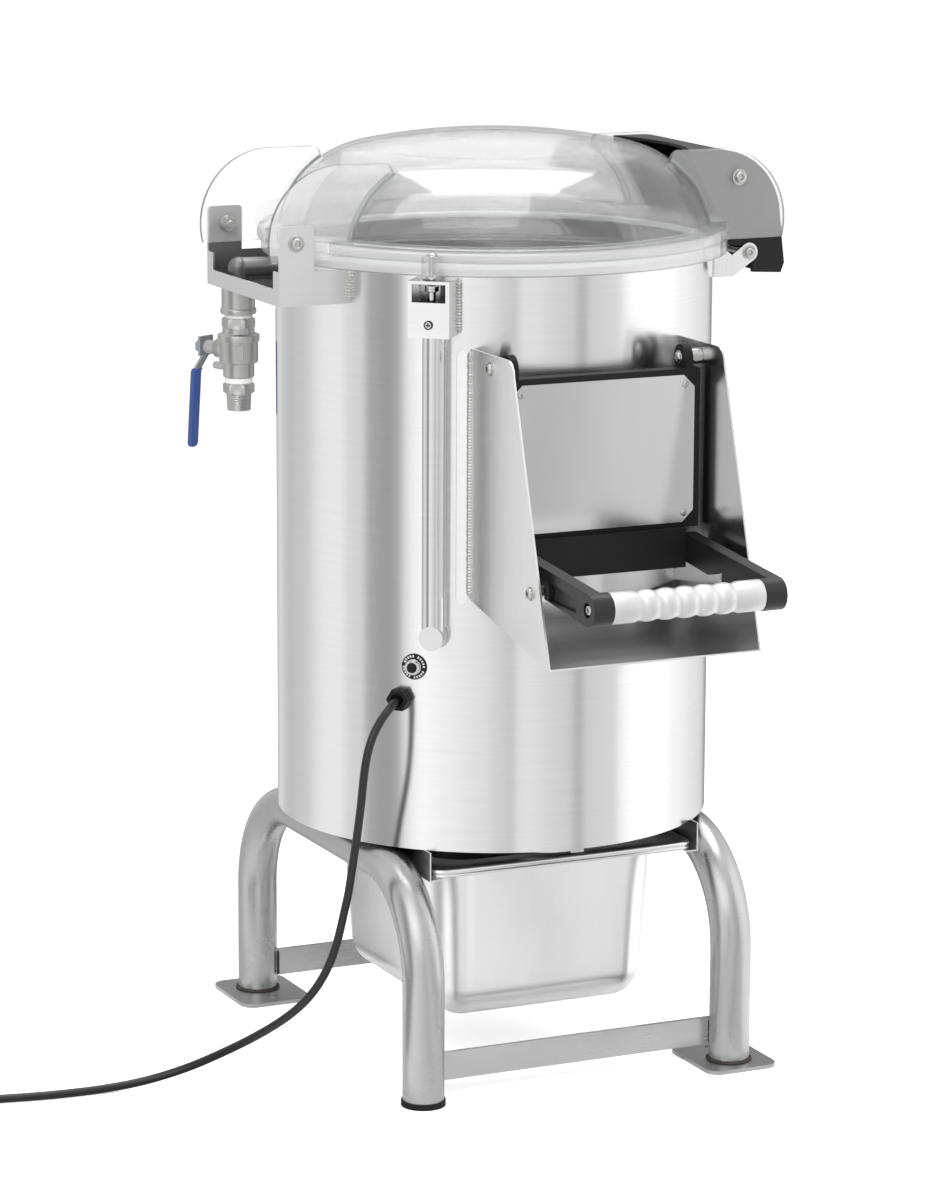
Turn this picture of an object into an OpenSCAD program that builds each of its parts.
// Floor-standing electric potato peeler: tube frame, steel drum with a clear hinged lid,
// front discharge door with a lift-up lever, ball valve, pull-out waste pan and belt drive.
// Origin on the drum axis at floor level, +Z up, discharge door towards -Y.

/* [Drum] */
// outside diameter of the drum
drum_d = 450; // [440:1:462]
// height of the drum shell
drum_h = 591; // [570:1:620]
// sheet thickness of the drum
drum_wall = 1.5; // [1.2:0.1:2]
// height of the chamber floor above the drum bottom
chamber_h = 265; // [260:1:272]

/* [Frame] */
// outside diameter of the leg tubes
tube_d = 42.4; // [40:0.1:44]
// wall of the leg tubes
tube_wall = 2; // [1.5:0.1:3]
// height of the drum bottom above the floor
frame_h = 251; // [245:1:270]
// half distance between the two leg arches
leg_x = 174.5; // [172:0.5:180]
// front legs, distance in front of the drum axis
leg_front = 214; // [208:1:222]
// rear legs, distance behind the drum axis
leg_back = 226; // [220:1:234]
// centreline radius of the arch bends
bend_r = 107; // [100:1:112]
// width of a foot plate
plate_w = 80; // [72:1:90]
// length of a foot plate
plate_l = 100; // [94:1:110]
// thickness of a foot plate
plate_t = 4; // [3:0.5:6]
// floor bolt hole in a foot plate
plate_hole_d = 11; // [9:0.5:13]
// height of the stretcher bars
bar_h = 29; // [24:1:32]
// thickness of the stretcher bars
bar_t = 5; // [4:0.5:8]
// height of the bars above the floor
bar_z = 19; // [15:1:22]

/* [Waste pan] */
// height of the pan rail channels
rail_h = 30; // [26:1:34]
// sheet thickness of the rails
rail_t = 1.5; // [1.2:0.1:2]
// height of the pan bottom above the floor
pan_bot = 56; // [55:1:80]
// length of the pan rim
pan_l = 335; // [319:1:343]
// front edge of the pan rim ahead of the drum axis
pan_front = 180; // [169:1:187]
// wall taper over the full depth
pan_taper = 9; // [5:1:14]

/* [Chute] */
// outside width over the side plates
chute_w = 232; // [226:1:238]
// sheet thickness of the chute
chute_t = 2; // [1.5:0.1:3]
// reach of the chute outside the drum wall
chute_out = 150; // [135:1:165]
// slope drop from the drum to the front edge
chute_drop = 38; // [30:1:48]

/* [Door] */
// door hinge axis outside the drum wall
hinge_off = 15; // [14:0.5:18]
// hinge axis below the drum top
hinge_drop = 92; // [88:1:98]
// width of the door moulding
door_w = 216; // [208:1:217]
// thickness of the door moulding
door_t = 15.5; // [12:0.5:18]
// width of the lower door section
door_low_w = 179.4; // [174:0.2:180]
// height of the lower door section
door_low_h = 39; // [36:1:42]
// thickness of the steel facing plate
face_t = 1.5; // [1:0.1:2.5]
// thickness of a lever arm
arm_t = 14; // [11:0.5:15]
// reach of the lever from its pivot to the grip
arm_reach = 176; // [160:1:190]
// grip diameter
grip_d = 31; // [26:1:34]
// round head radius of a lever arm
head_r = 16; // [15:0.5:18]

/* [Lid] */
// overhang of the lid flange beyond the drum
flange_over = 15; // [14:0.5:17]
// height of the flange skirt
flange_h = 26; // [24:1:28]
// rise of the dome above the flange
dome_rise = 96; // [90:1:100]
// wall of the clear moulding
lid_t = 4; // [3:0.5:5]
// distance of each fin from the middle plane
fin_y = 91; // [86:1:94]
// fin thickness
fin_t = 5; // [4:0.5:6]
// lid hinge axis outside the drum wall
lid_axis_out = 36; // [34:1:38]
// diameter of the lid hinge bolts
lid_bolt_d = 8; // [6:0.5:9]

/* [Water inlet] */
// outside diameter of the male inlet thread, 3/4 inch pipe
inlet_d = 26.4; // [24:0.1:28]
// length of the male inlet thread
inlet_l = 18; // [15:1:21]
// ball valve body diameter
valve_d = 43; // [40:1:46]

/* [Controls] */
// diameter of the start and stop buttons
button_d = 22; // [18:1:24]
// travel of the buttons
button_travel = 3; // [2:0.5:4]
// diameter of the thermal reset button
reset_d = 9; // [7:0.5:10]

/* [Drive] */
// diameter of the drive shaft
shaft_d = 25; // [24:0.5:27]
// outside diameter of the driven pulley
driven_d = 130; // [120:1:136]
// outside diameter of the motor pulley
driver_d = 50; // [44:1:56]
// distance between the shaft and the motor
belt_c = 120; // [116:1:126]
// diameter of the motor
motor_d = 124; // [116:1:130]

/* [Mains lead] */
// diameter of the mains cord
cord_d = 9.5; // [8:0.5:10]

/* [Hidden] */
$fn = 64;

// clearances shared by mating pieces
run_gap = 0.05;   // radial clearance of a running pin
slide_gap = 0.3;  // between moving faces
eps = 0.01;

drum_r = drum_d / 2;
drum_in = drum_r - drum_wall;
drum_top = frame_h + drum_h;
chamber_z = frame_h + chamber_h;
tube_r = tube_d / 2;
hinge_out = drum_r + hinge_off;
chute_reach = drum_r + chute_out;
arch_z = frame_h - tube_r;
cap_t = 6;
cap_lip = 1.5;
bar_in = 12;      // bars sit this far inboard of the leg centres
foot_out = 38;    // plate edge outside the leg centre
hole_in = 42;     // bolt hole inboard of the leg centre
corner_r = 15;

// ---- shared shapes ----
module yz(x, t) {
  translate([x, 0, 0]) rotate([90, 0, 90]) linear_extrude(t) children();
}
module xz(y, t) {
  translate([0, y + t, 0]) rotate([90, 0, 0]) linear_extrude(t) children();
}
module xbar(x, y, z, r, l) {
  translate([x, y, z]) rotate([0, 90, 0]) cylinder(r = r, h = l);
}
module ybar(x, y, z, r, l) {
  translate([x, y, z]) rotate([-90, 0, 0]) cylinder(r = r, h = l);
}
module rrect(x0, y0, x1, y1, r) {
  translate([x0 + r, y0]) square([x1 - x0 - 2 * r, y1 - y0]);
  translate([x0, y0 + r]) square([x1 - x0, y1 - y0 - 2 * r]);
  for (x = [x0 + r, x1 - r])
    for (y = [y0 + r, y1 - r])
      translate([x, y]) circle(r = r);
}
// radial frame on the drum wall: local +X points outwards at azimuth a
module on_wall(a, z) {
  rotate([0, 0, a]) translate([0, 0, z]) children();
}
module both_x() {
  children();
  mirror([1, 0, 0]) children();
}
module both_y() {
  children();
  mirror([0, 1, 0]) children();
}
module hexagon(af, h) {
  cylinder(r = af / sqrt(3), h = h, $fn = 6);
}
module hex_head(af, h, socket) {
  difference() {
    hexagon(af, h);
    translate([0, 0, h - socket]) cylinder(r = af / 5, h = socket + 1);
  }
}

// ---- frame ----
module arch_solid(zf, zb, r, over) {
  translate([0, -leg_front, zf - over]) cylinder(r = r, h = arch_z - bend_r - zf + over);
  translate([0, leg_back, zb - over]) cylinder(r = r, h = arch_z - bend_r - zb + over);
  translate([0, leg_back - bend_r, arch_z - bend_r])
    rotate([90, 0, 90]) rotate_extrude(angle = 90) translate([bend_r, 0]) circle(r = r);
  translate([0, bend_r - leg_front, arch_z - bend_r])
    mirror([0, 1, 0]) rotate([90, 0, 90]) rotate_extrude(angle = 90) translate([bend_r, 0]) circle(r = r);
  ybar(0, bend_r - leg_front, arch_z, r, leg_front + leg_back - 2 * bend_r);
}
module arch(zf, zb) {
  difference() {
    arch_solid(zf, zb, tube_r, 0);
    arch_solid(zf, zb, tube_r - tube_wall, 1);
  }
}
module left_leg_arch() color([0.75, 0.75, 0.74]) translate([-leg_x, 0, 0]) arch(cap_t, plate_t);
module right_leg_arch() color([0.75, 0.75, 0.74]) translate([leg_x, 0, 0]) arch(plate_t, cap_t);

module stretcher(y, leg_y) {
  difference() {
    translate([-leg_x, y, bar_z]) cube([2 * leg_x, bar_t, bar_h]);
    for (s = [-1, 1])
      translate([s * leg_x, leg_y, 0]) cylinder(r = tube_r, h = 100);
  }
}
module stretchers() color([0.7, 0.7, 0.69]) {
  stretcher(bar_in - bar_t / 2 - leg_front, -leg_front);
  stretcher(leg_back - bar_in - bar_t / 2, leg_back);
}

module foot_plate() {
  difference() {
    linear_extrude(plate_t) rrect(-plate_w / 2, -foot_out, plate_w / 2, plate_l - foot_out, corner_r);
    translate([0, hole_in, -1]) cylinder(d = plate_hole_d, h = plate_t + 2);
  }
}
module foot_plates() color([0.68, 0.68, 0.67]) {
  translate([-leg_x, leg_back, 0]) mirror([0, 1, 0]) foot_plate();
  translate([leg_x, -leg_front, 0]) foot_plate();
}
module foot_cap() {
  cylinder(r = tube_r + cap_lip, h = cap_t);
  cylinder(r = tube_r - tube_wall, h = cap_t + 12);
}
module foot_caps() color([0.08, 0.08, 0.08]) {
  translate([-leg_x, -leg_front, 0]) foot_cap();
  translate([leg_x, leg_back, 0]) foot_cap();
}

// ---- pan and rails ----
rail_out = leg_x - tube_r - 0.8;
rail_z = frame_h - rail_h;
rail_lip = 14;
rail_front = pan_front;
rail_len = 345;
rail_step = 20;                    // the top lip starts behind the rail's end
module pan_rails() color([0.72, 0.72, 0.71]) {
  both_x() {
    translate([rail_out - rail_t, -rail_front, rail_z]) cube([rail_t, rail_len, rail_h]);
    translate([rail_out - rail_lip, -rail_front, rail_z]) cube([rail_lip, rail_len, rail_t]);
    translate([rail_out - rail_lip, rail_step - rail_front, frame_h - rail_t])
      cube([rail_lip, rail_len - rail_step, rail_t]);
  }
}
rim_h = 9;
pan_rim_z = rail_z + rail_t + 0.2;
pan_top = pan_rim_z + rim_h;
pan_side_gap = 3;
pan_hw = rail_out - rail_t - pan_side_gap;
pan_wall_in = 20;
pan_front_in = 29;
pan_corner = 44;
pan_t = 1;
pan_ball = pan_corner - pan_taper - 1;
module pan_core(off, over) {
  hull() {
    for (sx = [-1, 1])
      for (y = [pan_front_in + pan_corner - pan_front, pan_l - pan_front - pan_wall_in - pan_corner])
        translate([sx * (pan_hw - pan_wall_in - pan_corner), y, 0]) {
          translate([0, 0, pan_top - 1]) cylinder(r = pan_corner - off, h = 1 + over, $fn = 32);
          translate([0, 0, pan_bot + pan_ball]) sphere(r = pan_ball - off, $fn = 32);
        }
  }
}
module pan_rim2d(in, r) {
  rrect(in - pan_hw, in - pan_front, pan_hw - in, pan_l - pan_front - in, r);
}
module waste_pan() color([0.78, 0.78, 0.77]) {
  difference() {
    union() {
      pan_core(0, 0);
      translate([0, 0, pan_top - 1]) linear_extrude(1) pan_rim2d(0, 14);
    }
    pan_core(pan_t, 1);
  }
  translate([0, 0, pan_rim_z]) linear_extrude(rim_h)
    difference() {
      pan_rim2d(0, 14);
      pan_rim2d(1.5, 12.5);
    }
}

// ---- drum ----
hinge_z = drum_top - hinge_drop;
open_hw = 82;                      // half width of the discharge opening
sill_up = 32;
open_z0 = chamber_z + sill_up;
lintel_down = 22;
open_z1 = hinge_z - lintel_down;
throat_t = 3;
throat_l = 60;
door_in = 2;
door_back = hinge_out - door_in;
top_flange = 10;
int_az = -129.35;                  // interlock azimuth
boss_down = 41;
int_boss_z = chamber_z - boss_down;
reset_az = -135.4;
reset_up = 189;
reset_z = frame_h + reset_up;
gland_az = -139;
gland_up = 155;
gland_z = frame_h + gland_up;
gland_thread_r = 8;
panel_az = 65;
panel_down = 85;
panel_z = chamber_z - panel_down;
elbow_az = 168;
inlet_down = 20;
inlet_z = drum_top - inlet_down;
outlet_y = 130;
outlet_r = 45;

// block through the drum front, m larger than the opening all round
module throat_block(m, over) {
  translate([-open_hw - m, -door_back + slide_gap - over, open_z0 - m])
    cube([2 * (open_hw + m), throat_l + over, open_z1 - open_z0 + 2 * m]);
}
module discharge_throat() color([0.76, 0.76, 0.75]) {
  difference() {
    throat_block(throat_t, 0);
    throat_block(0, 5);
    translate([0, 0, frame_h]) cylinder(r = drum_in, h = drum_h);
  }
}
module drum_shell() color([0.8, 0.8, 0.79]) {
  difference() {
    translate([0, 0, frame_h]) cylinder(r = drum_r, h = drum_h);
    translate([0, 0, frame_h - 1]) cylinder(r = drum_in, h = drum_h - 1);
    translate([0, 0, frame_h]) cylinder(r = drum_r - top_flange, h = drum_h + 1);
    throat_block(throat_t, 0);
    on_wall(int_az, int_boss_z) translate([drum_in - 2, 0, 0]) rotate([0, 90, 0]) cylinder(r = 9, h = 8);
    on_wall(reset_az, reset_z) translate([drum_in - 2, 0, 0]) rotate([0, 90, 0]) cylinder(r = 7, h = 8);
    on_wall(gland_az, gland_z) translate([drum_in - 2, 0, 0]) rotate([0, 90, 0])
      cylinder(r = gland_thread_r + 0.1, h = 8);
    on_wall(elbow_az, inlet_z) translate([drum_in - 4, 0, 0]) rotate([0, 90, 0]) cylinder(r = 10, h = 20);
    on_wall(panel_az, panel_z + 55) translate([drum_in - 2, 0, 0]) rotate([0, 90, 0]) cylinder(r = 14, h = 8);
  }
}
gasket_h = 5;
module rim_gasket() color([0.12, 0.12, 0.12]) {
  difference() {
    translate([0, 0, drum_top]) cylinder(r = drum_r - 0.5, h = gasket_h);
    translate([0, 0, drum_top - 1]) cylinder(r = drum_r - top_flange, h = gasket_h + 2);
  }
}
floor_t = 3;
duct_t = 2;
hub_gap = 4;
duct_down = 16;
duct_end = frame_h - duct_down;
module chamber_floor() color([0.7, 0.7, 0.69]) {
  difference() {
    translate([0, 0, chamber_z]) cylinder(r = drum_in, h = floor_t);
    translate([0, 0, chamber_z - 1]) cylinder(r = shaft_d / 2 + hub_gap, h = floor_t + 2);
    translate([0, -outlet_y, chamber_z - 1]) cylinder(r = outlet_r - duct_t, h = floor_t + 2);
  }
  difference() {
    translate([0, -outlet_y, duct_end]) cylinder(r = outlet_r, h = chamber_z - duct_end);
    translate([0, -outlet_y, duct_end - 1]) cylinder(r = outlet_r - duct_t, h = chamber_z - duct_end + 5);
  }
}
base_t = 2;
stud_r = 7.5;
stud_h = 5;
stud_edge = 27.5;
stud_y = drum_in - stud_edge;
stud_x = 118;
module bottom_plate() color([0.3, 0.3, 0.31]) {
  difference() {
    translate([0, 0, frame_h]) cylinder(r = drum_in, h = base_t);
    translate([0, -outlet_y, frame_h - 1]) cylinder(r = outlet_r, h = base_t + 2);
  }
  for (p = [[0, -stud_y], [0, stud_y], [-stud_x, 0], [stud_x, 0]])
    translate([p[0], p[1], frame_h - stud_h]) cylinder(r = stud_r, h = stud_h);
}

// ---- drive ----
shaft_r = shaft_d / 2;
bearing_r = 23.5;
bearing_w = 12;
house_r = 34;
house_flange_r = 60;
house_flange_t = 8;
seat_lip = 3;
house_deep = 118;
house_z = chamber_z - house_deep;
disc_up = 17;
disc_z = chamber_z + disc_up;
disc_t = 12;
disc_gap = 9;
disc_r = drum_in - disc_gap;
pulley_up = 34;
pulley_z = frame_h + pulley_up;
pulley_h = 22;
groove_d = 9;
module bearing_housing() color([0.35, 0.36, 0.38]) {
  difference() {
    union() {
      translate([0, 0, house_z]) cylinder(r = house_r, h = chamber_z - house_z);
      translate([0, 0, chamber_z - house_flange_t]) cylinder(r = house_flange_r, h = house_flange_t);
    }
    translate([0, 0, house_z - 1]) cylinder(r = bearing_r, h = bearing_w + 1);
    translate([0, 0, chamber_z - bearing_w]) cylinder(r = bearing_r, h = bearing_w + 1);
    translate([0, 0, house_z - 1]) cylinder(r = bearing_r - seat_lip, h = chamber_z - house_z + 2);
  }
}
module shaft_bearings() color([0.6, 0.6, 0.62]) {
  for (z = [house_z, chamber_z - bearing_w])
    translate([0, 0, z])
      difference() {
        cylinder(r = bearing_r, h = bearing_w);
        translate([0, 0, -1]) cylinder(r = shaft_r + run_gap, h = bearing_w + 2);
      }
}
shaft_down = 8;
shaft_z0 = pulley_z - shaft_down;
shaft_step = 4;                    // the shaft's end is this much smaller in radius
end_l = 16;
shaft_z1 = disc_z + disc_t + end_l;
rib_r = 34;
rib_in = 62;
rib_sink = 14;
rib_edge = 4;
disc_hub_r = 34;
disc_hub_h = 6;
knob_r = 24;
knob_h = 12;
knob_ball = 22;
knob_sink = 6;
module drive_shaft() color([0.65, 0.65, 0.66]) {
  translate([0, 0, shaft_z0]) cylinder(r = shaft_r, h = disc_z - shaft_z0);
  translate([0, 0, disc_z]) cylinder(r = shaft_r - shaft_step, h = shaft_z1 - disc_z);
}
module peeling_disc() color([0.25, 0.25, 0.26]) {
  difference() {
    union() {
      translate([0, 0, disc_z]) cylinder(r = disc_r, h = disc_t);
      intersection() {
        translate([0, 0, disc_z]) cylinder(r = disc_r - rib_edge, h = rib_r);
        union() {
          for (a = [0:60:300])
            rotate([0, 0, a]) xbar(rib_in, 0, disc_z - rib_sink, rib_r, disc_r - rib_in);
        }
      }
      translate([0, 0, disc_z]) cylinder(r = disc_hub_r, h = disc_t + disc_hub_h);
    }
    translate([0, 0, disc_z - rib_r - rib_sink]) cylinder(r = drum_r, h = rib_r + rib_sink);
    translate([0, 0, disc_z - 1]) cylinder(r = shaft_r - shaft_step, h = disc_t + disc_hub_h + 2);
  }
}
module disc_knob() color([0.75, 0.75, 0.74]) {
  difference() {
    union() {
      translate([0, 0, disc_z + disc_t + disc_hub_h]) cylinder(r = knob_r, h = knob_h);
      translate([0, 0, disc_z + disc_t + disc_hub_h + knob_h])
        intersection() {
          translate([0, 0, -knob_sink]) sphere(r = knob_ball);
          cylinder(r = knob_r, h = knob_ball);
        }
    }
    translate([0, 0, disc_z]) cylinder(r = shaft_r - shaft_step, h = shaft_z1 - disc_z);
  }
}
module pulley(d, bore) {
  rotate_extrude()
    polygon([[bore, 0], [d / 2, 0], [d / 2, 4], [d / 2 - groove_d, 7], [d / 2 - groove_d, 15],
             [d / 2, 18], [d / 2, pulley_h], [bore, pulley_h]]);
}
module driven_pulley() color([0.4, 0.4, 0.42]) translate([0, 0, pulley_z]) pulley(driven_d, shaft_r);
module motor_pulley() color([0.4, 0.4, 0.42]) {
  translate([0, belt_c, pulley_z]) pulley(driver_d, 7);
  translate([0, belt_c, pulley_z - 2]) cylinder(r = 7, h = motor_z - pulley_z);
}
belt_w = 7;
// closed loop round two circles, both tangents exact
module loop2d(r1, r2) {
  b = asin((r1 - r2) / belt_c);
  circle(r = r1);
  translate([0, belt_c]) circle(r = r2);
  polygon([[-r1 * cos(b), r1 * sin(b)], [r1 * cos(b), r1 * sin(b)],
           [r2 * cos(b), belt_c + r2 * sin(b)], [-r2 * cos(b), belt_c + r2 * sin(b)]]);
}
module drive_belt() color([0.1, 0.1, 0.1]) {
  in1 = driven_d / 2 - groove_d + slide_gap;
  in2 = driver_d / 2 - groove_d + slide_gap;
  translate([0, 0, pulley_z + 7.5]) linear_extrude(belt_w)
    difference() {
      loop2d(in1 + groove_d - 1, in2 + groove_d - 1);
      loop2d(in1, in2);
    }
}
motor_up = 78;
motor_z = frame_h + motor_up;
motor_h = 165;
module motor() color([0.35, 0.37, 0.4]) {
  difference() {
    union() {
      translate([0, belt_c, motor_z]) cylinder(d = motor_d - 8, h = motor_h);
      translate([0, belt_c, motor_z]) cylinder(d = motor_d, h = 12);
      translate([0, belt_c, motor_z + 40]) cylinder(d = motor_d, h = 80);
      translate([0, belt_c, motor_z + motor_h - 14]) cylinder(d = motor_d - 2, h = 14);
    }
    translate([0, belt_c, motor_z - 1]) cylinder(r = 12, h = 6);
  }
}
post_x = 66;
post_r = 6;
post_front = 60;                   // posts before and behind the motor shaft
post_back = 55;
bracket_t = 5;
bracket_side = 12;
module motor_bracket() color([0.45, 0.45, 0.46]) {
  difference() {
    translate([-post_x - bracket_side, belt_c - post_front - bracket_side, motor_z - bracket_t])
      cube([2 * (post_x + bracket_side), post_front + post_back + 2 * bracket_side, bracket_t]);
    translate([0, belt_c, motor_z - bracket_t - 1]) cylinder(r = bearing_r + 1.5, h = bracket_t + 2);
  }
  for (x = [-post_x, post_x])
    for (y = [belt_c - post_front, belt_c + post_back])
      translate([x, y, frame_h + base_t]) cylinder(r = post_r, h = motor_z - bracket_t - frame_h - base_t);
}
gear_l = 84;
gear_gap = 47.5;                   // from the electrics box to the drum wall
gear_x = drum_in - gear_gap - gear_l;
gear_y = 84;
gear_w = 60;
gear_h = 110;
capacitor_r = 17.5;
capacitor_h = 60;
module electrics_box() color([0.85, 0.85, 0.83]) {
  translate([gear_x, -gear_y, frame_h + base_t]) cube([gear_l, gear_w, gear_h]);
  translate([gear_x + capacitor_r + 0.5, gear_w / 2 - gear_y, frame_h + base_t + gear_h])
    cylinder(r = capacitor_r, h = capacitor_h);
}

// ---- controls and mains entry ----
reset_r = reset_d / 2;
reset_collar_h = 6.5;
reset_out = 11.5;
module reset_breaker() color([0.15, 0.15, 0.15]) {
  on_wall(reset_az, reset_z) rotate([0, 90, 0]) {
    difference() {
      union() {
        translate([0, 0, drum_in - 38]) cylinder(r = 15, h = 37);
        translate([0, 0, drum_in - 1.2]) cylinder(r = 6.9, h = drum_wall + 2);
        translate([0, 0, drum_r + 0.2]) cylinder(r = 13.2, h = 1);
        translate([0, 0, drum_r + 1]) cylinder(r = 8, h = reset_collar_h);
      }
      translate([0, 0, drum_in - 20]) cylinder(r = reset_r + 0.3, h = 50);
    }
  }
}
module reset_button() color([0.05, 0.05, 0.05]) {
  on_wall(reset_az, reset_z) rotate([0, 90, 0])
    translate([0, 0, drum_in - 14]) cylinder(r = reset_r, h = drum_wall + 14 + reset_out);
}
cord_r = cord_d / 2;
gland_out = 11;
gland_af = 21;
gland_nut_h = 5;
module cable_gland() color([0.06, 0.06, 0.06]) {
  on_wall(gland_az, gland_z) rotate([0, 90, 0])
    difference() {
      union() {
        translate([0, 0, drum_in - 14]) cylinder(r = gland_thread_r, h = 20);
        translate([0, 0, drum_in - 8]) hexagon(gland_af, 6);
        translate([0, 0, drum_r + 0.4]) hexagon(gland_af, gland_nut_h);
        translate([0, 0, drum_r + 0.4 + gland_nut_h]) cylinder(r = gland_af / 2 - 0.5, h = 1.2);
        translate([0, 0, drum_r + 1.4 + gland_nut_h]) hexagon(gland_af, gland_out - gland_nut_h - 1.4);
      }
      translate([0, 0, drum_in - 20]) cylinder(r = cord_r, h = 60);
    }
}
panel_w = 62;
panel_h = 110;
panel_out = 30;
module control_panel() color([0.7, 0.7, 0.69]) {
  on_wall(panel_az, panel_z)
    difference() {
      union() {
        translate([drum_r - 8, -panel_w / 2, 0]) cube([8 + panel_out, panel_w, panel_h]);
        for (z = [30, 80])
          translate([drum_r + panel_out - 1, 0, z]) rotate([0, 90, 0]) cylinder(r = button_d / 2 + 4, h = 6);
      }
      translate([0, 0, -panel_z]) cylinder(r = drum_r, h = drum_top);
      for (z = [30, 80])
        translate([drum_r + 5, 0, z]) rotate([0, 90, 0]) cylinder(r = button_d / 2 + slide_gap, h = 60);
    }
}
module push_button(z) {
  on_wall(panel_az, panel_z + z) translate([drum_r + 5 + button_travel + 1, 0, 0]) rotate([0, 90, 0])
    cylinder(r = button_d / 2, h = panel_out + 5);
}
module start_button() color([0.1, 0.55, 0.25]) push_button(80);
module stop_button() color([0.75, 0.08, 0.06]) push_button(30);

// ---- mains lead ----
coil_c = [-668, 38];
coil_in = 50;
coil_lift = 1;
coil_pitch = cord_d - 0.4;
coil_out = coil_in + coil_pitch;
// centre points of the lead from the gland to the coil
ga = [cos(gland_az), sin(gland_az)];
g0 = drum_r + gland_out - 6;
g1 = drum_r + gland_out + 3;
cord_path = [
  [ga[0] * g0, ga[1] * g0, gland_z],
  [ga[0] * g1, ga[1] * g1, gland_z],
  [-188.5, -163.5, gland_z - 2.6],
  [-198, -171.5, gland_z - 10.5],
  [-206, -178.5, gland_z - 23],
  [-212.5, -183, gland_z - 41],
  [-217, -183.5, 341],
  [-219.5, -179.5, 313],
  [-220.5, -172, 288],
  [-222, -163, 262],
  [-225, -156, 236],
  [-229, -151.5, 212],
  [-234, -149, 188],
  [-240, -150, 164],
  [-249, -151, 140],
  [-261, -149, 118],
  [-274, -145, 101],
  [-289, -138, 86],
  [-305, -127, 72],
  [-322, -113, 58],
  [-338, -97, 45],
  [-354, -82, 33],
  [-373, -69, 22],
  [-395, -60, 14],
  [-418, -54, 8.5],
  [-441, -50, 5.6],
  [-464, -48, cord_r],
  [-488, -47, cord_r],
  [-512, -45, cord_r],
  [-536, -41, cord_r],
  [-560, -36, cord_r],
  [-584, -31, cord_r],
  [-608, -26, cord_r],
  [-632, -22, cord_r],
  [-650, -20, cord_r],
  [coil_c[0], coil_c[1] - coil_out, cord_r + 0.5]];
cord_sides = 10;
function unit(v) = v / norm(v);
function tangent(p, i) =
  i == 0 ? unit(p[1] - p[0])
  : i == len(p) - 1 ? unit(p[i] - p[i - 1])
  : unit(unit(p[i + 1] - p[i]) + unit(p[i] - p[i - 1]));
// frame carried along the path without twist
function carry(p, i, n) =
  let (t = tangent(p, i), m = unit(n - (n * t) * t))
  i == len(p) - 1 ? [m] : concat([m], carry(p, i + 1, m));
function ring(c, t, n, r) =
  let (b = cross(t, n))
  [for (k = [0:cord_sides - 1]) c + r * (cos(360 * k / cord_sides) * n + sin(360 * k / cord_sides) * b)];
module tube_along(p, r) {
  ns = carry(p, 0, [0, 0, 1]);
  pts = [for (i = [0:len(p) - 1]) each ring(p[i], tangent(p, i), ns[i], r)];
  last = (len(p) - 1) * cord_sides;
  faces = concat(
    [[for (k = [cord_sides - 1:-1:0]) k]],
    [for (i = [0:len(p) - 2])
      for (k = [0:cord_sides - 1])
        for (s = [0, 1])
          let (a = i * cord_sides + k, b = i * cord_sides + (k + 1) % cord_sides)
          s == 0 ? [a, b, b + cord_sides] : [a, b + cord_sides, a + cord_sides]],
    [[for (k = [0:cord_sides - 1]) last + k]]);
  polyhedron(points = pts, faces = faces, convexity = 4);
}
module power_cord() color([0.04, 0.04, 0.04]) tube_along(cord_path, cord_r - 0.05);
module cord_coil() color([0.04, 0.04, 0.04]) {
  translate([coil_c[0], coil_c[1], coil_lift + cord_r])
    rotate_extrude()
      for (r = [coil_in, coil_out])
        for (z = [0, coil_pitch])
          translate([r, z]) circle(r = cord_r);
  translate([coil_c[0] + coil_in - cord_r - 1, coil_c[1] - 6, 0.2])
    cube([coil_pitch + cord_d + 2, 12, coil_pitch + cord_d + 1.8]);
}
plug_r = 18;
plug_z = plug_r + 0.3;
plug_x = coil_c[0] + 6;
plug_turn = 25;                    // the plug lies turned away from the coil
plug_y = coil_c[1] + coil_out;
module power_plug() color([0.05, 0.05, 0.05]) {
  translate([plug_x, plug_y, plug_z]) rotate([0, 90, plug_turn]) {
    cylinder(r1 = 6, r2 = 8.5, h = 30);
    translate([0, 0, 29]) cylinder(r1 = 13, r2 = plug_r, h = 9);
    translate([0, 0, 38]) cylinder(r = plug_r, h = 26);
    for (s = [-1, 1])
      translate([0, s * 9.5, 63]) cylinder(r = 2.4, h = 20);
  }
}

// ---- chute ----
plate_x = chute_w / 2;
chute_below = 3.4;
chute_z0 = chamber_z - chute_below;
plate_up = 14;
chute_top = hinge_z + plate_up;
pin_out = 94;
pin_y = hinge_out + pin_out;
pin_below = 4;
pin_z = open_z0 - pin_below;
bolt_r = 4;             // door hinge bolts, rest pins and grip rod
lip_back = sqrt(pow(drum_r, 2) - pow(plate_x, 2)) - 4;
plate_head = 36;                   // flat top of a side plate ahead of the door hinge
plate_round = 15;
floor_in = 40;                     // chute floor ahead of the plates' back edge
floor_rise = 8.5;
module side_profile() {
  difference() {
    polygon([[-lip_back, chute_top], [-hinge_out - plate_head, chute_top],
             [-hinge_out - plate_head - plate_round, chute_top - plate_round],
             [-chute_reach, chute_z0 - chute_drop], [-lip_back, chute_z0]]);
    translate([-hinge_out, hinge_z]) circle(r = bolt_r);
    translate([-pin_y, pin_z]) circle(r = bolt_r);
  }
  intersection() {
    translate([-hinge_out - plate_head, chute_top - plate_round]) circle(r = plate_round);
    translate([-hinge_out - plate_head - 2 * plate_round, chute_top - plate_round]) square(2 * plate_round);
  }
}
module side_plate() {
  difference() {
    yz(plate_x - chute_t, chute_t) side_profile();
    cylinder(r = drum_r, h = drum_top);
  }
}
module left_side_plate() color([0.72, 0.72, 0.71]) mirror([1, 0, 0]) side_plate();
module right_side_plate() color([0.72, 0.72, 0.71]) side_plate();
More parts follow.
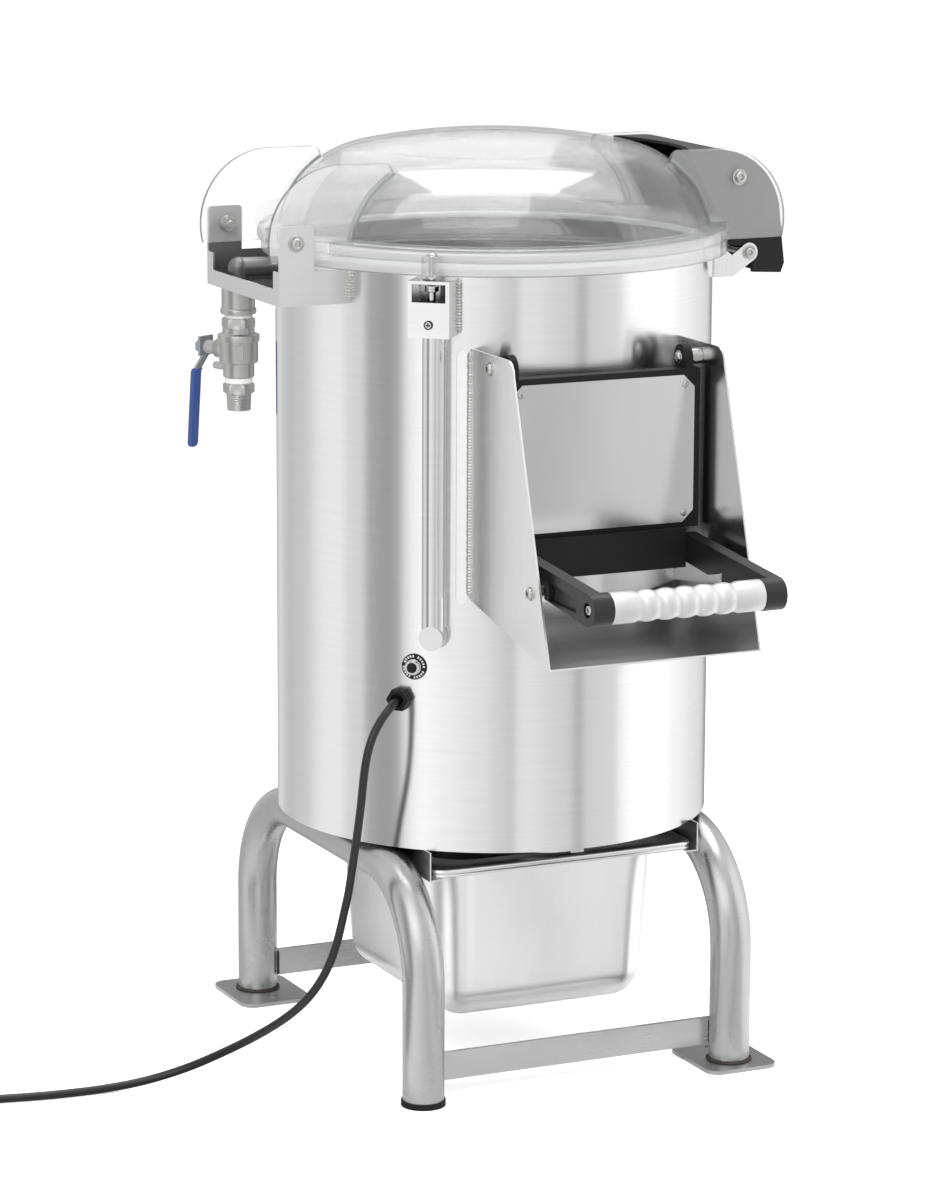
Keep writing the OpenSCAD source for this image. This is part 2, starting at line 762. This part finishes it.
module chute_floor() color([0.6, 0.6, 0.6]) {
  difference() {
    yz(chute_t - plate_x, chute_w - 2 * chute_t)
      polygon([[floor_in - lip_back, chute_z0 + floor_rise + chute_t],
               [-chute_reach, chute_z0 - chute_drop + chute_t], [-chute_reach, chute_z0 - chute_drop],
               [floor_in - lip_back, chute_z0 + floor_rise]]);
    cylinder(r = drum_r, h = drum_top);
  }
}

// ---- door ----
door_hw = door_w / 2;
low_hw = door_low_w / 2;
door_front = door_back + door_t;
low_step = 9.5;
low_front = door_front + low_step;
door_below = 10;
door_top = hinge_z - door_below;
low_below = 7;
low_z = open_z0 - low_below;
low_top = low_z + door_low_h;
lug_in = 24;
lug_x0 = plate_x - lug_in;
lug_t = 8;
lug_r = 13;
lever_in = 7;
lever_y = low_front - lever_in;
lever_up = 20;
lever_z = low_z + lever_up;
pivot_r = 5;
module door_body() color([0.07, 0.07, 0.07]) {
  difference() {
    union() {
      translate([-door_hw, -door_front, low_top]) cube([door_w, door_t, door_top - low_top]);
      translate([-low_hw, -low_front, low_z]) cube([door_low_w, low_front - door_back, door_low_h + 1]);
      both_x() {
        xbar(lug_x0, -hinge_out, hinge_z, lug_r, lug_t);
        translate([lug_x0, -door_front, door_top - 5]) cube([lug_t, door_t, 15]);
        xbar(low_hw - 8, -lever_y, lever_z, pivot_r, 8 + arm_t - 2);
      }
    }
    both_x() {
      xbar(lug_x0 - 1, -hinge_out, hinge_z, bolt_r + run_gap, lug_t + 2);
      for (z = [face_s0, face_s1])
        ybar(screw_x, -door_front - 1, z, 2, 9);
    }
  }
}
face_in = 7;
face_hw = door_hw - face_in;
face_low = 5.5;
face_z0 = low_top + face_low;
face_high = 6;
face_z1 = door_top - face_high;
face_c = 12;
screw_in = 10.5;
screw_x = face_hw - screw_in;
screw_low = 9.5;
face_s0 = face_z0 + screw_low;
screw_high = 9.5;
face_s1 = face_z1 - screw_high;
module door_plate() color([0.75, 0.75, 0.74]) {
  difference() {
    xz(-door_front - face_t, face_t)
      polygon([[-face_hw + face_c, face_z0], [face_hw - face_c, face_z0], [face_hw, face_z0 + face_c],
               [face_hw, face_z1 - face_c], [face_hw - face_c, face_z1], [-face_hw + face_c, face_z1],
               [-face_hw, face_z1 - face_c], [-face_hw, face_z0 + face_c]]);
    both_x() {
      for (z = [face_s0, face_s1])
        ybar(screw_x, -door_front - 10, z, 2, 20);
    }
  }
}
module door_screws() color([0.6, 0.6, 0.6]) {
  both_x() {
    for (z = [face_s0, face_s1]) {
      ybar(screw_x, -door_front - face_t - 1, z, 2, 8);
      ybar(screw_x, -door_front - face_t - 1.6, z, 3.6, 1.6);
    }
  }
}
// bolt through a side plate: head outside, shank to x_in, spacer sleeve up to x_sleeve
module plate_bolt(y, z, x_in, x_sleeve, sleeve_r) {
  xbar(x_in, y, z, bolt_r, plate_x - x_in);
  xbar(plate_x, y, z, 7, 1.2);
  translate([plate_x + 1, y, z]) rotate([0, 90, 0]) hex_head(11, 3.4, 2);
  difference() {
    xbar(x_sleeve, y, z, sleeve_r, plate_x - chute_t - x_sleeve);
    xbar(x_sleeve - 1, y, z, bolt_r - eps, plate_x);
  }
}
module door_hinge_bolts() color([0.55, 0.55, 0.56]) {
  both_x() {
    plate_bolt(-hinge_out, hinge_z, lug_x0 - 3, lug_x0 + lug_t + slide_gap, 8);
    xbar(lug_x0 - 5, -hinge_out, hinge_z, 6.5, 4.5);
  }
}
arm_in = low_hw + slide_gap;
module rest_pins() color([0.6, 0.6, 0.6]) {
  both_x() plate_bolt(-pin_y, pin_z, arm_in + 2, arm_in + arm_t + 1, 6);
}

// ---- lever ----
grip_y = lever_y + arm_reach;
grip_z = lever_z - 16;
arm_r0 = 14;
keep_r = sqrt(pow(pin_y - hinge_out, 2) + pow(hinge_z - pin_z, 2)) - bolt_r - 2.5;
head_in = 8;
module arm_profile() {
  difference() {
    union() {
      translate([-lever_y, lever_z]) circle(r = arm_r0);
      translate([-grip_y, grip_z]) circle(r = head_r);
      polygon([[-lever_y, lever_z + arm_r0], [-grip_y, grip_z + head_r],
               [-grip_y, grip_z - head_r], [-lever_y, lever_z - arm_r0]]);
    }
    // notch over the rest pin
    difference() {
      translate([-pin_y - bolt_r - 0.6, pin_z - 40]) square([40, 60]);
      translate([-hinge_out, hinge_z]) circle(r = keep_r);
    }
  }
}
module arm_pocket() {
  polygon([[-lever_y - 24, lever_z + 6], [-pin_y + 20, grip_z + 18], [-pin_y + 20, grip_z + 12],
           [-lever_y - 24, lever_z - 5]]);
  polygon([[-pin_y - 14, grip_z + 12], [-grip_y + 24, grip_z + 7], [-grip_y + 24, grip_z - 7],
           [-pin_y - 14, grip_z - 6]]);
}
module lever_arms() color([0.07, 0.07, 0.07]) {
  both_x()
    difference() {
      union() {
        yz(arm_in, arm_t) arm_profile();
        xbar(arm_in - head_in, -grip_y, grip_z, head_r, head_in + arm_t);
      }
      yz(arm_in + arm_t - 4, 10) arm_pocket();
      xbar(arm_in - 1, -lever_y, lever_z, pivot_r + run_gap, arm_t + 2);
      xbar(arm_in - head_in - 1, -grip_y, grip_z, bolt_r, 40);
      xbar(arm_in + arm_t - 4, -grip_y, grip_z, 7.5, 10);
    }
}
grip_hl = arm_in - head_in;
grip_r = grip_d / 2;
bump_p = 17.5;
module lever_grip() color([0.78, 0.78, 0.78]) {
  translate([0, -grip_y, grip_z]) rotate([0, 90, 0]) {
    rotate_extrude() {
      translate([0, -grip_hl]) square([grip_r - 2, 2 * grip_hl]);
      translate([0, -grip_hl]) square([grip_r, grip_hl - 3 * bump_p - 2]);
      translate([0, 3 * bump_p + 2]) square([grip_r, grip_hl - 3 * bump_p - 2]);
      for (i = [-2.5:1:2.5])
        intersection() {
          translate([grip_r - 9, i * bump_p]) circle(r = 9.2);
          translate([0, i * bump_p - bump_p / 2]) square([grip_r + 2, bump_p]);
        }
    }
    for (s = [0, 1])
      mirror([0, 0, s]) {
        translate([0, 0, grip_hl]) cylinder(r = bolt_r, h = head_in + arm_t - 4);
        translate([0, 0, grip_hl + head_in + arm_t - 4]) hex_head(9, 3, 2);
      }
  }
}

// ---- lid ----
flange_r = drum_r + flange_over;
lid_wall_in = 3;
lid_wall_r = drum_r - lid_wall_in;
seat_z = drum_top + gasket_h + 0.3;
flange_up = 20;
flange_top = drum_top + flange_up;
skirt_z = flange_top - flange_h;
lid_axis_x = drum_r + lid_axis_out;
lid_axis_up = 21;
lid_axis_z = drum_top + lid_axis_up;
dome_top = flange_top + dome_rise;
corner_d = 97;
corner_x = lid_wall_r - corner_d;
corner_down = 110;
corner_z = dome_top - corner_down;
cap_r = (pow(corner_x, 2) + pow(corner_down, 2) - pow(corner_d, 2)) / (2 * (corner_down - corner_d));
cap_z = dome_top - cap_r;
fin_centre_in = 12;
fin_c = drum_r - fin_centre_in;
fin_r = 75.5;
fin_up = 2;
fin_bot = drum_top + fin_up;
lid_bolt_r = lid_bolt_d / 2;
latch_out = 10;
latch_x = drum_r + latch_out;
latch_up = 66;
latch_z = drum_top + latch_up;
lug_az = int_az;
pusher_out = 9;
pusher_r = flange_r + pusher_out;
// dome outline shrunk by t, from height z0 up
module dome2d(t, z0) {
  k = corner_x / (corner_z - cap_z);
  intersection() {
    union() {
      translate([corner_x, corner_z]) circle(r = corner_d - t);
      intersection() {
        translate([0, cap_z]) circle(r = cap_r - t);
        polygon([[0, cap_z], [k * 2 * cap_r, cap_z + 2 * cap_r], [0, cap_z + 2 * cap_r]]);
      }
      square([lid_wall_r - t, corner_z]);
      polygon([[0, corner_z - 60], [corner_x, corner_z - 60], [corner_x, corner_z], [0, corner_z + 20]]);
    }
    translate([0, z0]) square([drum_d, dome_top]);
  }
}
module lid2d() {
  difference() {
    dome2d(0, seat_z);
    dome2d(lid_t, seat_z - 1);
  }
  translate([lid_wall_r - 1, flange_top - 5]) square([flange_r - lid_wall_r + 1, 5]);
  translate([flange_r - 5, skirt_z]) square([5, flange_h]);
}
fin_in = 48;                       // straight top of a fin inside its arc
fin_round = 9;
fin_top = lid_axis_z + fin_r - 0.4;
module fin2d() {
  intersection() {
    translate([fin_c, lid_axis_z]) circle(r = fin_r);
    translate([fin_c - 20, fin_bot]) square([200, 200]);
  }
  translate([fin_c - fin_in - fin_round, fin_bot])
    square([fin_in + fin_round, fin_top - fin_bot - fin_round]);
  translate([fin_c - fin_in, fin_bot]) square([fin_in, fin_top - fin_bot]);
  translate([fin_c - fin_in, fin_top - fin_round]) circle(r = fin_round);
}
// a pair of fins, cut back to the middle of the dome wall and of the flange
module fins(hole_x, hole_z) {
  difference() {
    both_y()
      xz(fin_y - fin_t / 2, fin_t)
        difference() {
          fin2d();
          translate([hole_x, hole_z]) circle(r = lid_bolt_r + run_gap);
        }
    rotate_extrude() dome2d(lid_t / 2, skirt_z - 30);
    translate([0, 0, skirt_z - 30]) cylinder(r = flange_r - 2, h = flange_h + 28);
  }
}
module lid_dome() color([0.85, 0.88, 0.9, 0.45]) {
  rotate_extrude() lid2d();
  mirror([1, 0, 0]) fins(lid_axis_x, lid_axis_z);
  fins(latch_x, latch_z);
  // lug for the interlock pusher
  on_wall(lug_az, 0)
    difference() {
      translate([flange_r - 4, -9, skirt_z + 2]) cube([20, 18, 19]);
      translate([pusher_r, 0, skirt_z - 5]) cylinder(r = 3, h = 40);
    }
  // hood over the water inlet
  difference() {
    on_wall(elbow_az, flange_top - 4) translate([flange_r - 5, 0, 0]) sphere(r = 13);
    translate([0, 0, skirt_z - 30]) cylinder(r = flange_r - 2, h = flange_h + 28);
  }
}
module lid_pusher() color([0.7, 0.7, 0.7]) {
  on_wall(lug_az, 0) translate([pusher_r, 0, 0]) {
    translate([0, 0, box_top - 5]) cylinder(r = 3, h = skirt_z + 24 - box_top + 5);
    translate([0, 0, box_top + 0.6]) cylinder(r = 6, h = skirt_z + 2 - box_top - 0.6);
    translate([0, 0, skirt_z + 21]) cylinder(r = 5.5, h = 3);
    translate([0, 0, box_top - 5]) cylinder(r = 4, h = 4);
  }
}

// ---- lid hinge bracket on the left ----
ear_gap = 0.5;
ear_y0 = fin_y + fin_t / 2 + ear_gap;
sheet_t = 2;
ear_back = 19;
ear_x0 = lid_axis_x - ear_back;
ear_ahead = 18.4;
ear_x1 = lid_axis_x + ear_ahead;
ear_down = 39;
ear_low = drum_top - ear_down;
arm_down = 1;
ear_arm = skirt_z - arm_down;
lip_h = 14;
tab_w = 14;
tab_h = 18;
module lid_hinge_bracket() color([0.72, 0.72, 0.71]) {
  mirror([1, 0, 0])
    difference() {
      union() {
        both_y()
          xz(ear_y0, sheet_t)
            difference() {
              union() {
                rrect(ear_x0, ear_low, ear_x1, lid_axis_z + 17.5, 4);
                translate([drum_r - 60, ear_low]) square([ear_x1 - drum_r + 60 - 5, ear_arm - ear_low]);
                translate([ear_x1 - 20, ear_low]) square([20, 10]);
              }
              translate([lid_axis_x, lid_axis_z]) circle(r = lid_bolt_r);
            }
        difference() {
          translate([100, -ear_y0, ear_low - sheet_t]) cube([ear_x1 - 100, 2 * ear_y0, sheet_t]);
          translate([inlet_x, -inlet_y, ear_low - 10]) cylinder(r = 11, h = 20);
        }
        translate([100, -ear_y0 - sheet_t, ear_low - sheet_t]) cube([ear_x1 - 100, sheet_t, sheet_t]);
        translate([100, ear_y0, ear_low - sheet_t]) cube([ear_x1 - 100, sheet_t, sheet_t]);
        translate([ear_x1 - sheet_t, -ear_y0, ear_low]) cube([sheet_t, 2 * ear_y0, lip_h]);
        both_y()
          translate([ear_x1 - sheet_t, ear_y0 - tab_w, ear_low + lip_h]) cube([sheet_t, tab_w + eps, tab_h]);
      }
      cylinder(r = drum_r, h = 2 * drum_top);
    }
}
module y_bolt(x, z, y0, y1) {
  ybar(x, y0, z, lid_bolt_r, y1 - y0);
}
module lid_hinge_bolts() color([0.62, 0.62, 0.63]) {
  both_y() {
    y_bolt(-lid_axis_x, lid_axis_z, fin_y - fin_t / 2 - 12, ear_y0 + sheet_t);
    ybar(-lid_axis_x, ear_y0 + sheet_t, lid_axis_z, 8.5, 1.2);
    translate([-lid_axis_x, ear_y0 + sheet_t + 1, lid_axis_z]) rotate([-90, 0, 0]) hex_head(13, 3.6, 2);
    ybar(-lid_axis_x, fin_y - fin_t / 2 - 2.3, lid_axis_z, 8, 2);
    translate([-lid_axis_x, fin_y - fin_t / 2 - 9, lid_axis_z]) rotate([-90, 0, 0]) hexagon(13, 7);
  }
}

// ---- latch on the right ----
skin_in = 2.5;
skin_r = fin_r - skin_in;
skin_t = 3;
handle_hw = fin_y - fin_t / 2 - slide_gap;
wall_in = 5;
keep_out = 9;
keep_x = flange_r + keep_out;
keep_down = 13;
keep_z = drum_top - keep_down;
keep_pin_r = 4;
lip_out = 52;
lip_x = flange_r + lip_out;
lip_down = 36;
lip_z = drum_top - lip_down;
flange_gap = 0.8;                  // from the handle to the lid flange
handle_back = 58;
module handle_outline() {
  intersection() {
    translate([fin_c, lid_axis_z]) circle(r = skin_r);
    translate([fin_c - skin_r, lid_axis_z]) square([2 * skin_r, skin_r]);
  }
  translate([drum_r - handle_back, lid_axis_z]) square([fin_c - drum_r + handle_back, skin_r]);
  polygon([[fin_c - 10, lid_axis_z + 1], [fin_c + skin_r, lid_axis_z + 1], [lip_x, lip_z + 10],
           [lip_x - 4, lip_z], [keep_x + 6, lip_z + 2], [keep_x + 6, keep_z + 6], [keep_x - 22, keep_z + 8]]);
}
module handle_hollow() {
  intersection() {
    translate([fin_c, lid_axis_z]) circle(r = skin_r - skin_t);
    translate([fin_c - skin_r, lid_axis_z]) square([2 * skin_r, skin_r]);
  }
  translate([drum_r - 2 * handle_back, lid_axis_z])
    square([fin_c - drum_r + 2 * handle_back, skin_r - skin_t]);
  polygon([
    [fin_c - skin_r, lid_axis_z + 1],
    [fin_c + skin_r - skin_t, lid_axis_z + 1],
    [lip_x - 4, lip_z + 10],
    [lip_x - 8, lip_z + 3],
    [lip_x - 24, lip_z + 3],
    [lip_x - 24, lip_z - 5],
    [fin_c - skin_r, lip_z - 5]]);
}
module latch_handle() color([0.06, 0.06, 0.06]) {
  difference() {
    union() {
      xz(-handle_hw, 2 * handle_hw)
        difference() {
          handle_outline();
          handle_hollow();
        }
      both_y()
        xz(handle_hw - wall_in, wall_in)
          difference() {
            handle_outline();
            translate([latch_x, latch_z]) circle(r = lid_bolt_r + run_gap);
          }
    }
    // room for the dome and its flange while the handle turns
    translate([0, 0, drum_top]) cylinder(r = drum_r - 24, h = dome_top - drum_top);
    translate([0, 0, drum_top]) cylinder(r1 = flange_r + 8, r2 = drum_r - 22, h = 88);
    translate([0, 0, skirt_z - 14]) cylinder(r = flange_r + flange_gap, h = flange_h + 14 + flange_gap);
  }
}
module latch_bolts() color([0.62, 0.62, 0.63]) {
  both_y() {
    y_bolt(latch_x, latch_z, handle_hw - wall_in - 3, fin_y + fin_t / 2);
    ybar(latch_x, handle_hw - wall_in - 3.5, latch_z, 7, 3);
    ybar(latch_x, fin_y + fin_t / 2, latch_z, 8.5, 1.2);
    translate([latch_x, fin_y + fin_t / 2 + 1, latch_z]) rotate([-90, 0, 0]) hex_head(13, 3.6, 2);
  }
}
strap_out = 1;
strap_x = drum_r + strap_out;
module latch_ear() {
  difference() {
    union() {
      translate([keep_x, keep_z]) circle(r = 10);
      polygon([[keep_x - 7, keep_z + 7], [keep_x + 7, keep_z - 7], [drum_r + 6, keep_z - 24],
               [drum_r - 30, keep_z - 24], [drum_r - 30, skirt_z - 1], [drum_r - 6, skirt_z - 1],
               [drum_r + 4, keep_z - 2]]);
    }
    translate([keep_x, keep_z]) circle(r = keep_pin_r);
  }
}
module latch_bracket() color([0.8, 0.8, 0.79]) {
  difference() {
    union() {
      both_y() xz(fin_y - 2, sheet_t) latch_ear();
      translate([strap_x, 2 - fin_y, keep_z - 24]) cube([sheet_t, 2 * fin_y - 4, 20]);
    }
    cylinder(r = drum_r, h = 2 * drum_top);
  }
}
module keeper_pin() color([0.65, 0.65, 0.66]) {
  ybar(keep_x, -fin_y, keep_z, keep_pin_r, 2 * fin_y);
  both_y() {
    ybar(keep_x, fin_y, keep_z, 7.5, 1.2);
    translate([keep_x, fin_y + 1, keep_z]) rotate([-90, 0, 0]) hex_head(11, 3.4, 2);
  }
}

// ---- lid interlock ----
box_w = 42;
box_over = 13;
box_out = pusher_r + box_over;
box_down = 2;
box_top = skirt_z - box_down;
box_h = 56;
box_z = box_top - box_h;
riser_out = 13.5;
tube_out = drum_r + riser_out;
int_r = 12;
plunger_r = 4;
plunger_up = 8;
guide_up = 20;
guide_z = box_z + guide_up;
module interlock_box() color([0.82, 0.82, 0.81]) {
  on_wall(int_az, 0)
    difference() {
      translate([150, -box_w / 2, box_z]) cube([box_out - 150, box_w, box_h]);
      difference() {
        translate([140, sheet_t - box_w / 2, box_z + sheet_t])
          cube([box_out - 140 - sheet_t, box_w - 2 * sheet_t, box_h - 2 * sheet_t]);
        translate([140, -box_w / 2, guide_z]) cube([200, box_w, 3]);
      }
      translate([pusher_r, 0, box_top - 10]) cylinder(r = 9, h = 20);
      translate([pusher_r, 0, guide_z - 1]) cylinder(r = plunger_r + run_gap, h = 6);
      translate([tube_out, 0, box_z - 1]) cylinder(r = int_r - 1.5, h = 4);
      translate([box_out - 5, -17, box_top - 21]) cube([10, 34, 18]);
      translate([box_out - 5, 0, box_z + 13]) rotate([0, 90, 0]) cylinder(r = 2, h = 10);
      cylinder(r = drum_r, h = 2 * drum_top);
    }
}
module interlock_tube() color([0.85, 0.85, 0.85]) {
  on_wall(int_az, 0)
    difference() {
      union() {
        translate([tube_out, 0, int_boss_z]) cylinder(r = int_r, h = box_z - int_boss_z);
        translate([drum_in - 75, 0, int_boss_z]) rotate([0, 90, 0])
          cylinder(r = int_r + slide_gap, h = tube_out - drum_in + 75 + int_r);
      }
      translate([tube_out, 0, int_boss_z + 1]) cylinder(r = int_r - 1.5, h = drum_top);
      translate([140, 0, int_boss_z]) rotate([0, 90, 0]) cylinder(r = int_r - 3, h = tube_out - 140);
      cylinder(r = drum_r, h = 2 * drum_top);
    }
}
module plunger() color([0.85, 0.85, 0.86]) {
  on_wall(int_az, 0) translate([pusher_r, 0, 0]) {
    translate([0, 0, guide_z - 6]) cylinder(r = plunger_r, h = box_top - 5.4 - guide_z + 6);
    translate([0, 0, box_top - 11.4]) cylinder(r = 7, h = 6);
  }
}
module microswitch() color([0.1, 0.1, 0.12]) {
  on_wall(int_az, 0) translate([pusher_r - 5, -12, box_z + sheet_t])
    cube([10, 24, guide_z - 6.3 - box_z - sheet_t]);
  on_wall(int_az, 0) translate([box_out, 0, box_z + 13]) rotate([0, 90, 0]) {
    translate([0, 0, -4]) cylinder(r = 2, h = 4);
    cylinder(r = 4.4, h = 1.8);
  }
}

// ---- water inlet ----
inlet_out = 37;
inlet_x = drum_r + inlet_out;
inlet_y = -55;
stem_az = 116;
stem_r = 5;
lever_x = 44;                      // lever plate out along the stem
valve_down = 105.6;
valve_z = drum_top - valve_down;
valve_r = valve_d / 2;
module at_valve() {
  translate([-inlet_x, -inlet_y, 0]) children();
}
module valve_bore(h0, h1) {
  translate([0, 0, h0]) cylinder(r = 9, h = h1 - h0);
}
// local +Z along the stem, x out from the bore and z above the stem axis
module along_stem(x, z) {
  rotate([0, 0, stem_az]) translate([x, 0, valve_z + z]) rotate([0, 90, 0]) children();
}
socket_up = 38;
socket_z = valve_z + socket_up;
module valve_socket() color([0.66, 0.66, 0.65]) at_valve() {
  difference() {
    union() {
      translate([0, 0, socket_z]) cylinder(r = 17.8, h = ear_low - sheet_t - socket_z);
      translate([0, 0, valve_z + 34]) cylinder(r = 14, h = 5);
    }
    valve_bore(valve_z + 30, ear_low + 10);
  }
}
module valve_body() color([0.62, 0.62, 0.6]) at_valve() {
  difference() {
    union() {
      translate([0, 0, valve_z - 13]) cylinder(r = valve_r, h = 26);
      translate([0, 0, valve_z + 13]) cylinder(r1 = valve_r, r2 = 18, h = 4);
      translate([0, 0, valve_z + 13]) cylinder(r = 18, h = 12);
      translate([0, 0, valve_z + 24]) hexagon(32, 10);
      translate([0, 0, valve_z - 27]) hexagon(32, 14);
      along_stem(0, 0) cylinder(r = 10.5, h = 29);
      along_stem(0, 0) cylinder(r = 7, h = lever_x - 1);
      along_stem(0, -18) cylinder(r = 3.6, h = 33);
    }
    valve_bore(valve_z - 30, valve_z + 40);
    along_stem(30, 0) cylinder(r = stem_r + run_gap, h = 30);
  }
}
thread_z = valve_z - 43.3 - inlet_l;
module valve_nipple() color([0.7, 0.7, 0.69]) at_valve() {
  difference() {
    union() {
      translate([0, 0, thread_z]) cylinder(d = inlet_d, h = inlet_l);
      translate([0, 0, thread_z + inlet_l]) hexagon(30, 10);
      translate([0, 0, thread_z + inlet_l + 10])
        cylinder(r = 13.2, h = valve_z - 27 - thread_z - inlet_l - 10);
    }
    valve_bore(thread_z - 1, valve_z);
  }
}
lever_t = 3;
lever_w = 9;
sleeve_w = 12.5;
crank_out = 13.5;                  // the lever is cranked outwards below its stem
crank_z = -27;
lever_end = -104;
lean = 5.5;                        // outward lean of the long part
// side outline of a strip set in by m from the lever's faces
module lever_side(top, m, over) {
  polygon([[lever_x - m, top], [lever_x + lever_t + m, top], [lever_x + lever_t + m, -8 + m],
           [lever_x + lever_t + crank_out + m, crank_z + m],
           [lever_x + lever_t + crank_out + lean + m, lever_end - over],
           [lever_x + crank_out + lean - m, lever_end - over],
           [lever_x + crank_out - m, crank_z - m], [lever_x - m, -8 - m]]);
}
module valve_lever() color([0.7, 0.7, 0.7]) at_valve() rotate([0, 0, stem_az]) translate([0, 0, valve_z]) {
  rotate([0, 90, 0]) translate([0, 0, 31]) cylinder(r = stem_r, h = lever_x - 25);
  translate([lever_x, -10, -9]) cube([lever_t, 20, 20]);
  translate([lever_x + lever_t, 0, 0]) rotate([0, 90, 0]) hexagon(13, 7);
  xz(-lever_w / 2, lever_w) lever_side(10, 0, 0);
}
module lever_sleeve() color([0.1, 0.3, 0.7]) at_valve() rotate([0, 0, stem_az]) translate([0, 0, valve_z]) {
  difference() {
    xz(-sleeve_w / 2, sleeve_w) lever_side(10, 1.6, 2);
    xz(-lever_w / 2, lever_w) lever_side(20, 0, 0);
    translate([lever_x - 10, -20, crank_z + 3]) cube([60, 40, 60]);
  }
}
elbow_r = 10;
module spray_elbow() color([0.75, 0.75, 0.74]) {
  difference() {
    union() {
      at_valve() translate([0, 0, ear_low - sheet_t])
        cylinder(r = elbow_r + 0.5, h = inlet_z - ear_low + sheet_t);
      at_valve() translate([0, 0, inlet_z]) sphere(r = elbow_r + 0.5);
      on_wall(elbow_az, inlet_z) translate([drum_in - 2, 0, 0]) rotate([0, 90, 0])
        cylinder(r = elbow_r - 0.1, h = inlet_run - drum_in + 2);
    }
    at_valve() valve_bore(ear_low - 10, inlet_z);
  }
}
inlet_run = sqrt(pow(inlet_x, 2) + pow(inlet_y, 2));

// ---- what is drawn ----
left_leg_arch();
right_leg_arch();
stretchers();
foot_plates();
foot_caps();
pan_rails();
waste_pan();
drum_shell();
discharge_throat();
rim_gasket();
chamber_floor();
bottom_plate();
bearing_housing();
shaft_bearings();
drive_shaft();
peeling_disc();
disc_knob();
driven_pulley();
drive_belt();
motor();
motor_pulley();
motor_bracket();
electrics_box();
reset_breaker();
reset_button();
cable_gland();
power_cord();
cord_coil();
power_plug();
left_side_plate();
right_side_plate();
chute_floor();
door_body();
door_plate();
door_screws();
door_hinge_bolts();
rest_pins();
lever_arms();
lever_grip();
lid_dome();
lid_hinge_bracket();
lid_hinge_bolts();
latch_handle();
latch_bolts();
latch_bracket();
keeper_pin();
lid_pusher();
interlock_box();
interlock_tube();
plunger();
microswitch();
valve_socket();
valve_body();
valve_nipple();
valve_lever();
lever_sleeve();
spray_elbow();
control_panel();
start_button();
stop_button();
